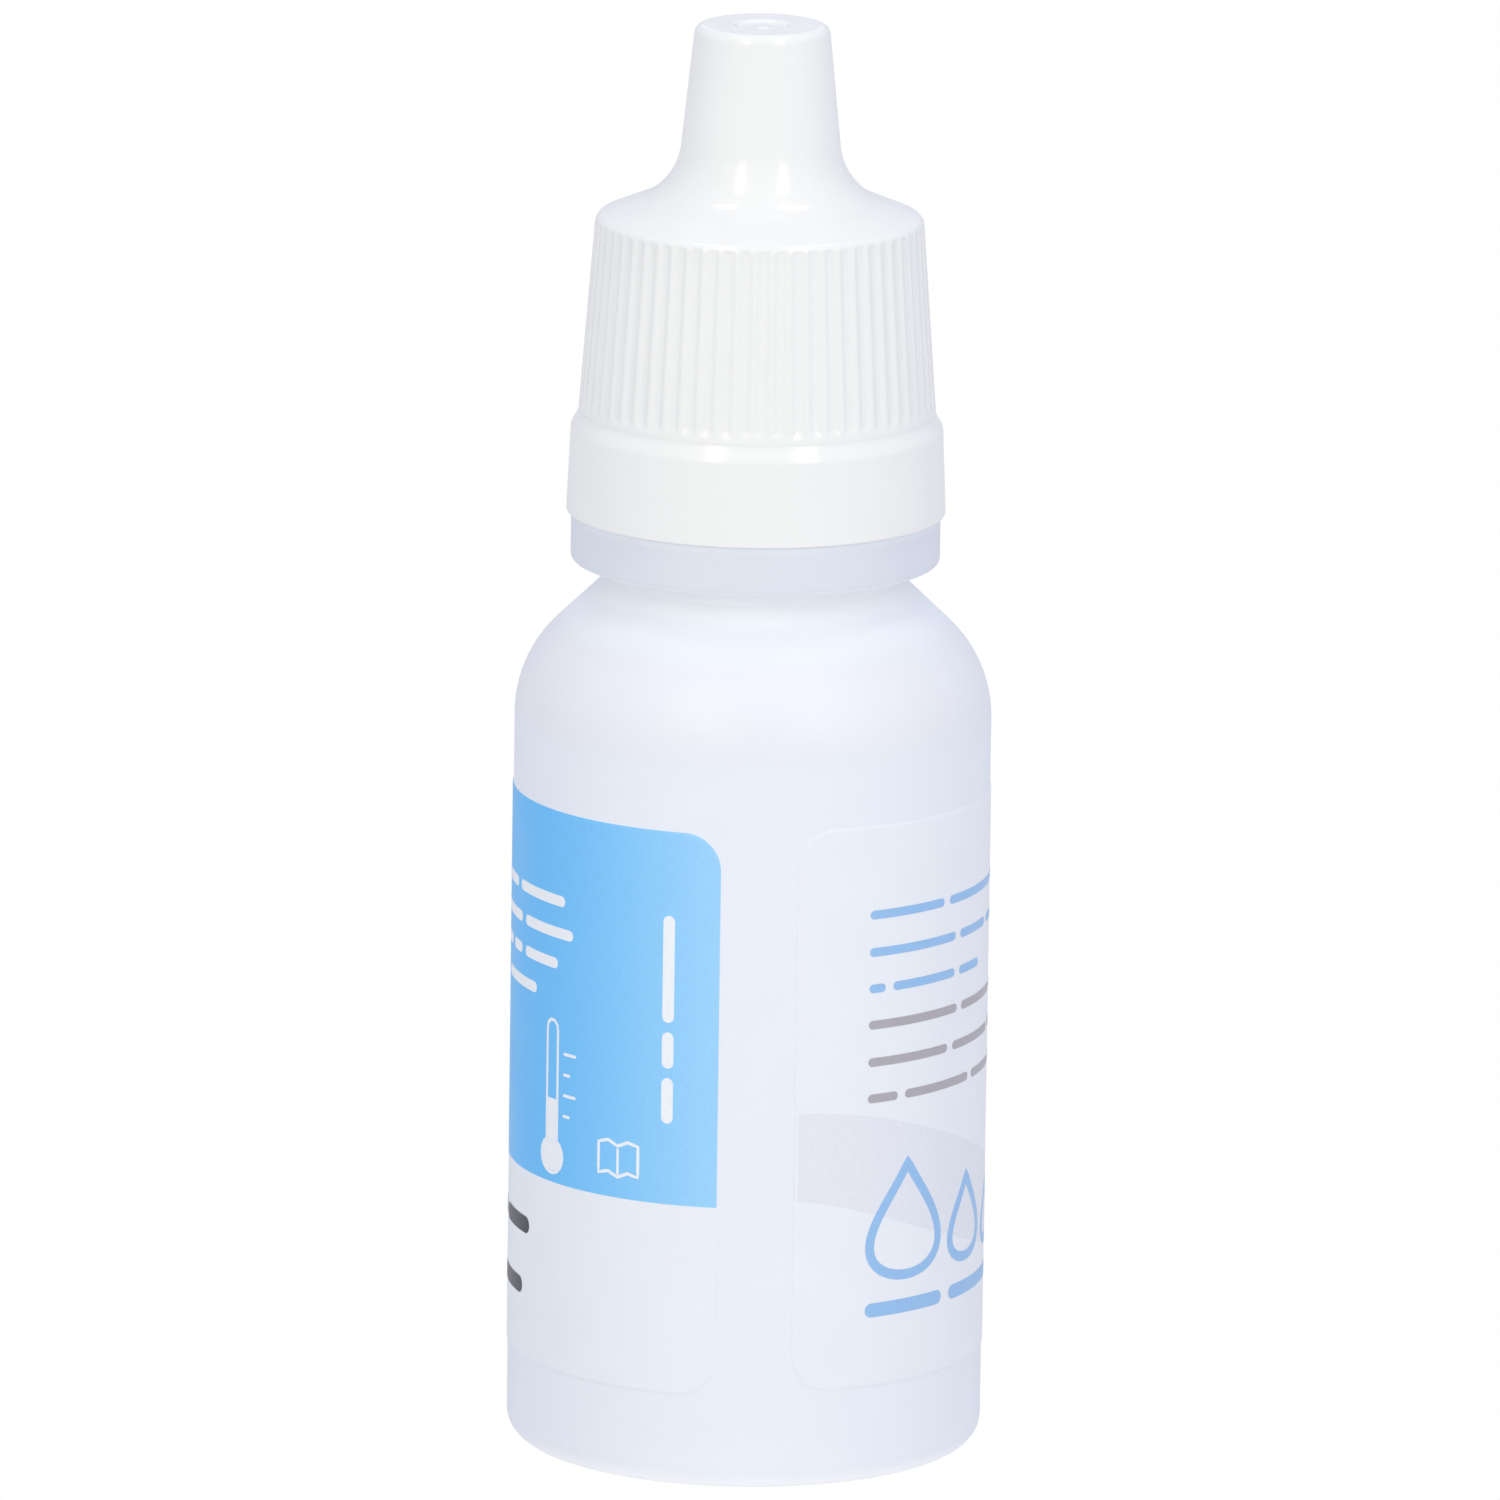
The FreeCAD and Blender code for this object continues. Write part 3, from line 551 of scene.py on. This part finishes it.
# A material of that look. Its colour is one of these, darker by up to cloud in soft patches of
# cloudGrain per millimetre: one colour, tones that follow one another up the piece, each eased in
# from its low to its high, or two colours from one side of the bottle to the other. Its skin is a
# fine bump of skinDepth at skinGrain per millimetre, and its roughness drifts by spread.
def newFinish(name, look):
    made = bpy.data.materials.new(name)
    made.use_nodes = True
    tree = made.node_tree
    shader = tree.nodes["Principled BSDF"]
    shader.inputs["IOR"].default_value = look["ior"]
    place = node(tree, "ShaderNodeTexCoord").outputs["Object"]
    axes = node(tree, "ShaderNodeSeparateXYZ", {"Vector": place}).outputs
    colour = (*look["colour"], 1)
    for low, high, tone in look.get("tones", ()):
        eased = rangeOf(tree, axes["Z"], low * mm, high * mm)
        colour = mixColour(tree, eased, colour, (*tone, 1))
    if "leftColour" in look:
        low, high = look["leftTurn"]
        share = rangeOf(tree, axes["X"], low * mm, high * mm, kind="LINEAR")
        colour = mixColour(tree, share, (*look["leftColour"], 1), colour)
    patches = noise(tree, place, look["cloudGrain"], noiseSizes["cloudDetail"])
    cloud = noiseRange(tree, patches, 1 - look["cloud"], 1.0)
    tree.links.new(mixColour(tree, 1.0, colour, cloud, "MULTIPLY"), shader.inputs["Base Color"])
    links = {"Height": noise(tree, place, look["skinGrain"]), "Distance": look["skinDepth"] * mm,
             "Strength": 1.0}
    tree.links.new(node(tree, "ShaderNodeBump", links).outputs["Normal"], shader.inputs["Normal"])
    roughness, spread = look["roughness"], look["spread"]
    drift = noise(tree, place, noiseSizes["driftGrain"])
    tree.links.new(noiseRange(tree, drift, roughness - spread, roughness + spread),
                   shader.inputs["Roughness"])
    return made


# Finishes of the moulded pieces and the film. The milky polyethylene's tones change up the piece:
# painted light at the foot, paler round the base's rim as if light came up through it; the liquid,
# which shows through the wall up to its level, and the empty shoulder; painted light from the top of
# the shoulder up the stem, paler where the collar shades it; painted shade on the collar, darker
# under the tamper ring; and painted light at the collar's top and the neck, paler under the ring.
finishes = {
    "natural_polyethylene": {
        "ior": 1.51, "colour": (0.97, 0.98, 1.0), "tones": [
            # painted light at the foot, the liquid, the shoulder, painted light up the stem, painted
            # shade on the collar, painted light at its top
            (0.0, 1.2, (0.85, 0.88, 0.955)), (34.2, 36.4, (0.835, 0.853, 0.91)),
            (39.0, 40.0, (0.86, 0.895, 0.95)), (40.7, 41.6, (0.955, 0.975, 1.0)),
            (42.5, 42.75, (0.75, 0.79, 0.865)), (44.4, 44.95, (0.9, 0.93, 0.985)),
        ],
        "cloudGrain": 0.3, "cloud": 0.01, "skinGrain": 1.6, "skinDepth": 0.01,
        "roughness": 0.44, "spread": 0.03,
    },
    "white_plastic": {
        "ior": 1.49, "colour": (0.894, 0.899, 0.892), "cloudGrain": 0.25, "cloud": 0.01,
        "skinGrain": 3.0, "skinDepth": 0.002, "roughness": 0.15, "spread": 0.02,
    },
    "printed_film": {
        "ior": 1.5, "colour": (0.863, 0.888, 0.946), "cloudGrain": 0.4, "cloud": 0.012,
        "skinGrain": 0.9, "skinDepth": 0.004, "roughness": 0.35, "spread": 0.04,
    },
}

print("materials")
skins = {name: newFinish(name, look) for name, look in finishes.items()}
for piece, name in (
    (bottle, "natural_polyethylene"),
    (dropper, "natural_polyethylene"),
    (cap, "white_plastic"),
    (ring, "white_plastic"),
    (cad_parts["ring_bridges"], "white_plastic"),
    (label, "printed_film"),
):
    piece.data.materials.clear()
    piece.data.materials.append(skins[name])


# Print on the film, as thin closed layers of ink a few micrometres proud of it. A row of plain
# dashes is (start, height, lengths of its dashes), and a stop of the stripe (s, upper z, lower z).
printSizes = {
    "lift": 0.005, "thickness": 0.004, "step": 0.3, "strip": 0.5, "endSteps": 5, "dashGap": 0.45,
    "least": 1e-9,  # the shortest way that a line's direction is taken over
    "panelLeft": -24.5, "panelBottom": 13.86, "panelRows": 30, "panelColumns": 100,
    "panelEnd": [0.996, 0.998, 1],  # its last columns, as shares of its length
    "stripe": [(2.26, 18.15, 13.95), (5.9, 17.85, 13.25), (9.0, 17.0, 12.0), (12.0, 15.95, 11.05),
               (15.5, 14.6, 10.1), (20.0, 13.0, 9.2), (25.0, 11.7, 8.8), (30.0, 10.6, 8.9),
               (34.0, 9.4, 9.3)],
    "stripeDegree": 5, "stripeColumns": 160, "stripeRows": 8, "stripeTip": 0.02,
    "whiteRows": [(-20.5, 27.5, [3.1, 2.2, 4.4]), (-21.5, 25.95, [2.4, 4.6, 4.3]),
                  (-20.5, 24.45, [4.6, 1.4, 3.2]), (-20.5, 22.9, [3.4, 4.4])],
    "whiteDash": 0.52,
    "uprightAt": -3.85, "uprightRuns": [(17.75, 19.95), (20.4, 22.15), (22.6, 27.75)],
    "uprightDash": 0.58,
    "blueRows": [(5.9, 27.5, [4.7, 5.6, 2.4, 4.0]), (5.9, 25.7, [5.7, 3.2, 1.8, 5.4]),
                 (5.9, 23.95, [0.9, 4.3, 2.2])],
    "greyRows": [(5.9, 22.2, [5.9, 4.6, 2.9, 3.4]), (5.9, 20.4, [5.1, 4.7, 5.2]),
                 (5.9, 18.65, [1.7, 5.0, 3.3, 4.4])],
    "textDash": 0.42,
    "titleRow": [(5.9, 8.4, [4.9, 6.2, 3.6])], "titleDash": 0.68, "titleGap": 0.65,
    "blackRows": [(-21.0, 11.2, [4.0, 3.75]), (-21.0, 8.15, [2.6, 4.35])], "blackDash": 0.82,
    "smallAt": 32.0, "smallTop": 26.5, "smallBottom": 8, "smallPitch": 1.5, "smallDash": 0.36,
    "smallLengths": (1.2, 5.0), "smallCount": 3,
}
dropSizes = {
    "drops": [(8.3, 12.65, 2.75), (13.1, 11.9, 2.0), (16.9, 11.35, 1.45)],  # (s, z, half its height)
    "wide": 1.15, "waist": 1.6, "line": 0.48, "points": 90,
}
thermometerSizes = {
    "s": -10.75, "bulbHeight": 15.15, "bulb": 0.85, "bulbTurn": 2.62, "bulbPoints": 40,
    "tubeTop": 21.3, "tube": 0.42, "tubePoints": 14, "line": 0.16,
    "fillBulb": 0.765, "fillTube": 0.335, "fillTop": 17.9, "fillRows": 40, "fillColumns": 5,
    "markStart": 0.85, "markLine": 0.15,
    "marks": [(17.2, 0.5), (18.2, 0.9), (19.2, 0.5), (20.2, 0.9)],  # (height, length)
}
sheetSizes = {
    "s": -6.4, "half": 1.1, "bottom": 14.95, "height": 1.5, "rise": 0.15, "sag": 0.1,
    "line": 0.16, "foldLine": 0.14, "foldTop": 16.25,
}


# One object of several patches of ink, each an array of rows and columns of (s, z).
def printLayer(name, patches, material, layer=1):
    vertices, faces, start = [], [], 0
    for patch in patches:
        grid = onFilm(patch[..., 0], patch[..., 1], printSizes["lift"] * layer)
        vertices.append(grid.reshape(-1, 3))
        faces.append(gridFaces(*grid.shape[:2]).reshape(-1, 4) + start)
        start += len(vertices[-1])
    piece = meshFrom(name, np.concatenate(vertices), np.concatenate(faces))
    thicken(piece, printSizes["thickness"])
    piece.data.materials.append(material)
    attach(piece, "bottle")


# A line of ink: its middle follows the points, and half its width lies to each side of it. Near a
# round end the half width is sqrt(2 d w - d d), where w is the full half width and d the way from
# the end.
def stroke(points, width, closed=False):
    points = np.array(points, float)
    if closed:
        points = np.vstack([points, points[:1]])
    way = np.append(0, np.cumsum(np.hypot(*np.diff(points, axis=0).T)))
    half = width / 2
    along = np.linspace(0, way[-1], max(3, math.ceil(way[-1] / printSizes["step"]) + 1))
    if not closed:
        bend = half * (1 - np.cos(np.linspace(0, np.pi / 2, printSizes["endSteps"])))
        inner = along[(along > half) & (along < way[-1] - half)]
        along = np.unique(np.concatenate([bend, inner, way[-1] - bend, way]))
    middle = np.stack([np.interp(along, way, points[:, i]) for i in (0, 1)], -1)
    if closed:
        run = np.roll(middle[:-1], -1, 0) - np.roll(middle[:-1], 1, 0)
        run = np.vstack([run, run[:1]])
    else:
        run = np.gradient(middle, axis=0)
    side = np.stack([-run[:, 1], run[:, 0]], -1)
    side = side / np.maximum(np.hypot(*run.T), printSizes["least"])[:, None]
    near = np.minimum(along, way[-1] - along)
    wide = np.full(len(along), half)
    if not closed:
        wide = np.where(near < half, np.sqrt(np.maximum(2 * near * half - near ** 2, 0)), half)
    across = np.linspace(-1, 1, 2 + math.ceil(width / printSizes["strip"]))
    return middle[:, None] + side[:, None] * wide[:, None, None] * across[:, None]


# Rows of plain dashes, each dash a gap away from the one before.
def dashes(rows, height, gap=printSizes["dashGap"]):
    made = []
    for start, z, lengths in rows:
        for length in lengths:
            made.append(stroke([(start, z), (start + length, z)], height))
            start += length + gap
    return made


# Outline of a drop of that half height: s is wide sin(t) sin(t / 2)^waist and z is cos(t), its tip
# on top.
def drop(s, z, half):
    size = dropSizes
    t = np.linspace(0, 2 * np.pi, size["points"], endpoint=False)
    across = half * size["wide"] * np.sin(t) * np.sin(t / 2) ** size["waist"]
    return stroke(np.stack([s + across, z + half * np.cos(t)], -1), size["line"], closed=True)


# A plain thermometer: an arc round the bulb, the tube with its round top, marks beside it and the
# filling. Half the filling's width is sqrt(fillBulb^2 - d^2) at the height d above the bulb's
# middle, and fillTube at least above it.
def thermometer(size):
    s, z = size["s"], size["bulbHeight"]
    t = np.linspace(-size["bulbTurn"], size["bulbTurn"], size["bulbPoints"])
    bulb = np.stack([s + size["bulb"] * np.sin(t), z - size["bulb"] * np.cos(t)], -1)
    t = np.linspace(-np.pi / 2, np.pi / 2, size["tubePoints"])
    tube = np.stack([s + size["tube"] * np.sin(-t), size["tubeTop"] + size["tube"] * np.cos(t)], -1)
    rows = np.linspace(z - size["fillBulb"], size["fillTop"], size["fillRows"])
    half = np.sqrt(np.maximum(size["fillBulb"] ** 2 - (rows - z) ** 2, 0))
    half = np.maximum(half, np.where(rows > z, size["fillTube"], 0))
    across = s + half[:, None] * np.linspace(-1, 1, size["fillColumns"])
    start = s + size["markStart"]
    return [
        stroke(np.vstack([bulb, tube]), size["line"], closed=True),
        np.stack([across, np.broadcast_to(rows[:, None], across.shape)], -1),
        *[stroke([(start, z), (start + wide, z)], size["markLine"]) for z, wide in size["marks"]],
    ]


# A plain folded sheet: its two rims bow up to each side of the fold and sag at it.
def foldedSheet(size):
    bow = np.array([0, size["rise"], -size["sag"], size["rise"], 0])
    steps = np.linspace(-size["half"], size["half"], len(bow))
    bottom = np.stack([size["s"] + steps, size["bottom"] + bow], -1)
    top = bottom + [0, size["height"]]
    corner = [bottom[0], *top, *bottom[:0:-1]]
    fold = [(size["s"], size["bottom"]), (size["s"], size["foldTop"])]
    return [stroke(corner, size["line"], closed=True), stroke(fold, size["foldLine"])]


# The panel runs from its left side to the film's end, round the film's corner.
def bluePanel():
    panel, size, corner = printSizes, labelSizes, labelSizes["corner"]
    straight = np.linspace(panel["panelBottom"], size["top"] - corner, panel["panelRows"])[:-1]
    rows = np.concatenate([straight, (size["top"] - cornerBend(size))[::-1]])
    toEdge = np.clip(corner - (size["top"] - rows), 0, None)
    end = size["left"] - corner + np.sqrt(corner ** 2 - toEdge ** 2)
    even = np.linspace(0, 1, panel["panelColumns"])[:-1]
    share = np.append(even, panel["panelEnd"])[:, None]
    s = panel["panelLeft"] + share * (end - panel["panelLeft"])
    return np.stack([s, np.broadcast_to(rows, s.shape)], -1)


# A plain band that sinks to the right and ends in a tip. Its edges are the polynomials of
# stripeDegree that lie closest to its stops.
def greyStripe():
    stripe = printSizes
    stops = np.array(stripe["stripe"])
    s = np.linspace(stops[0, 0], stops[-1, 0], stripe["stripeColumns"])
    upper, lower = (np.polyval(np.polyfit(stops[:, 0], stops[:, i], stripe["stripeDegree"]), s)
                    for i in (1, 2))
    upper = np.maximum(upper, lower + stripe["stripeTip"])
    z = lower[:, None] + (upper - lower)[:, None] * np.linspace(0, 1, stripe["stripeRows"])
    return np.stack([np.broadcast_to(s[:, None], z.shape), z], -1)


# Inks: each with its colour and how far its fine screen grain darkens it.
inkLook = {
    "ior": 1.5, "cloudGrain": 5.0, "skinGrain": 2.4, "skinDepth": 0.0015,
    "roughness": 0.36, "spread": 0.03,
}
inks = {
    "sky_ink": {"colour": (0.34, 0.68, 1.0), "cloud": 0.03,
                "leftColour": (0.10, 0.515, 1.0), "leftTurn": (-11.4, -1.5)},
    "grey_ink": {"colour": (0.815, 0.835, 0.905), "cloud": 0.03},
    "white_ink": {"colour": (0.90, 0.93, 0.98), "cloud": 0.03},
    "pale_blue_ink": {"colour": (0.32, 0.555, 0.88), "cloud": 0.04},
    "warm_grey_ink": {"colour": (0.45, 0.43, 0.47), "cloud": 0.04},
    "black_ink": {"colour": (0.04, 0.04, 0.05), "cloud": 0.2},
}

print("print on the label")
ink = {name: newFinish(name, {**inkLook, **look}) for name, look in inks.items()}
p = printSizes
draw = np.random.default_rng(4)
smallRows = [(p["smallAt"], z, draw.uniform(*p["smallLengths"], p["smallCount"]))
             for z in np.arange(p["smallTop"], p["smallBottom"], -p["smallPitch"])]
upright = [stroke([(p["uprightAt"], low), (p["uprightAt"], high)], p["uprightDash"])
           for low, high in p["uprightRuns"]]
drops = [drop(*place) for place in dropSizes["drops"]]
printLayer("print_panel", [bluePanel()], ink["sky_ink"])
printLayer("print_stripe", [greyStripe()], ink["grey_ink"])
printLayer("print_white", [*dashes(p["whiteRows"], p["whiteDash"]), *upright,
                           *thermometer(thermometerSizes), *foldedSheet(sheetSizes)],
           ink["white_ink"], 2)
printLayer("print_blue", [*dashes(p["blueRows"], p["textDash"]), *drops,
                          *dashes(p["titleRow"], p["titleDash"], p["titleGap"])],
           ink["pale_blue_ink"], 2)
printLayer("print_grey", [*dashes(p["greyRows"], p["textDash"]), *dashes(smallRows, p["smallDash"])],
           ink["warm_grey_ink"], 2)
printLayer("print_black", dashes(p["blackRows"], p["blackDash"]), ink["black_ink"], 2)


print("stage")
stageSizes = {
    "floor": 3.0, "floorHeight": -0.0002, "floorGrey": 0.8, "floorRoughness": 0.6,  # metres
    "footGlow": (0.0115, 0.0125, 0.25),  # light that comes up round the foot: its radii and strength
    "floorGloss": ((0.9, 0.92, 1, 1), 0.8),  # what the object's gloss shows of the floor
    "around": ((0.855, 0.88, 1.0, 1), 0.775),  # light from all sides
    "backdrop": ((1, 1, 1, 1), 1.0),  # what the camera sees
    "lampDistance": 0.8, "lampAim": 0.035,  # metres; the lamps face the bottle's middle
}

# A level square. It is white to the camera and pale grey to the light.
mesh = bpy.data.meshes.new("floor")
half, height = stageSizes["floor"] / 2, stageSizes["floorHeight"]
corners = [(-half, -half, height), (half, -half, height), (half, half, height), (-half, half, height)]
mesh.from_pydata(corners, [], [(0, 1, 2, 3)])
floor = bpy.data.objects.new("floor", mesh)
bpy.context.scene.collection.objects.link(floor)


# The first shader, or the second where that kind of ray meets it.
def byRay(tree, ray, first, second):
    seen = node(tree, "ShaderNodeLightPath").outputs[ray]
    return node(tree, "ShaderNodeMixShader", {0: seen, 1: first, 2: second}).outputs[0]


# A glow of that colour and strength.
def glow(tree, kind, look):
    return node(tree, kind, {"Color": look[0], "Strength": look[1]}).outputs[0]


pale = bpy.data.materials.new("pale_floor")
pale.use_nodes = True
tree = pale.node_tree
shader = tree.nodes["Principled BSDF"]
shader.inputs["Base Color"].default_value = (*[stageSizes["floorGrey"]] * 3, 1)
shader.inputs["Roughness"].default_value = stageSizes["floorRoughness"]
place = node(tree, "ShaderNodeNewGeometry").outputs["Position"]
radius = node(tree, "ShaderNodeVectorMath", {0: place}, operation="LENGTH").outputs["Value"]
low, high, strength = stageSizes["footGlow"]
shader.inputs["Emission Color"].default_value = (1, 1, 1, 1)
tree.links.new(rangeOf(tree, radius, low, high, strength, 0.0), shader.inputs["Emission Strength"])
inGloss = glow(tree, "ShaderNodeEmission", stageSizes["floorGloss"])
inView = glow(tree, "ShaderNodeEmission", stageSizes["backdrop"])
seen = byRay(tree, "Is Camera Ray", byRay(tree, "Is Glossy Ray", shader.outputs[0], inGloss), inView)
tree.links.new(seen, tree.nodes["Material Output"].inputs["Surface"])
floor.data.materials.append(pale)

world = bpy.data.worlds.new("studio")
bpy.context.scene.world = world
world.use_nodes = True
tree = world.node_tree
around = tree.nodes["Background"]
around.inputs["Color"].default_value, around.inputs["Strength"].default_value = stageSizes["around"]
inView = glow(tree, "ShaderNodeBackground", stageSizes["backdrop"])
seen = byRay(tree, "Is Camera Ray", around.outputs[0], inView)
tree.links.new(seen, tree.nodes["World Output"].inputs["Surface"])


# Soft lamps: two tall boxes in front, a strip over each side and a box behind. Each is (name, low
# end, high end, width in metres, watts, colour), and an end is an azimuth from the front and an
# elevation, in degrees.
lamps = [
    ("box_left", (-26, 8), (-34, 56), 0.13, 1.10, (1, 0.94, 0.68)),
    ("box_right", (31, 8), (39, 56), 0.15, 1.07, (1, 0.99, 0.86)),
    ("strip_left", (-60, 76), (-116, 66), 0.07, 0.30, (1, 1, 1)),
    ("strip_right", (60, 76), (116, 66), 0.07, 0.34, (1, 1, 1)),
    ("box_back", (180, 15), (180, 60), 0.3, 0.2, (1, 1, 1)),
]


# A point in that direction, at that distance from the origin.
def towards(azimuth, elevation, distance):
    a, e = math.radians(azimuth), math.radians(elevation)
    return Vector((math.sin(a) * math.cos(e), -math.cos(a) * math.cos(e), math.sin(e))) * distance


# An area lamp between two directions, turned to the bottle's middle.
def softbox(name, low, high, width, power, colour):
    start, end = (towards(*place, stageSizes["lampDistance"]) for place in (low, high))
    middle, across = (start + end) / 2, (end - start).normalized()
    away = (middle - across * middle.dot(across)).normalized()
    light = bpy.data.lights.new(name, "AREA")
    light.shape, light.size, light.size_y = "RECTANGLE", width, (end - start).length
    light.energy, light.color = power, colour
    lamp = bpy.data.objects.new(name, light)
    turned = Matrix((across.cross(away), across, away)).transposed().to_4x4()
    lamp.matrix_world = Matrix.Translation(middle + Vector((0, 0, stageSizes["lampAim"]))) @ turned
    bpy.context.scene.collection.objects.link(lamp)


for lamp in lamps:
    softbox(*lamp)

# Camera at the photograph's angle, its distance and clip in metres. The photograph shows the bottle
# at pixelsPerMm, and the aim is off the bottle's axis at aimHeight by a few pixels.
cameraSizes = {
    "elevation": 12.6, "roll": 0.8, "distance": 0.95, "sensor": 36.0, "lens": 482.9,
    "aimHeight": 33.17, "aimRight": -2.5, "aimUp": 2.0, "pixelsPerMm": 21.18, "clip": (0.05, 6.0),
}
camera = bpy.data.objects.new("camera", bpy.data.cameras.new("camera"))
bpy.context.scene.collection.objects.link(camera)
bpy.context.scene.camera = camera
c = cameraSizes
back, right = towards(0, c["elevation"], 1.0), Vector((1, 0, 0))
up = back.cross(right)
shift = (right * c["aimRight"] + up * c["aimUp"]) / c["pixelsPerMm"]
aim = (Vector((0, 0, c["aimHeight"])) + shift) * mm
turned = Matrix.Rotation(math.radians(c["roll"]), 3, back) @ Matrix((right, up, back)).transposed()
camera.matrix_world = Matrix.Translation(aim + back * c["distance"]) @ turned.to_4x4()
camera.data.sensor_width, camera.data.lens = c["sensor"], c["lens"]
camera.data.clip_start, camera.data.clip_end = c["clip"]

scene = bpy.context.scene
scene.view_settings.view_transform = "Standard"
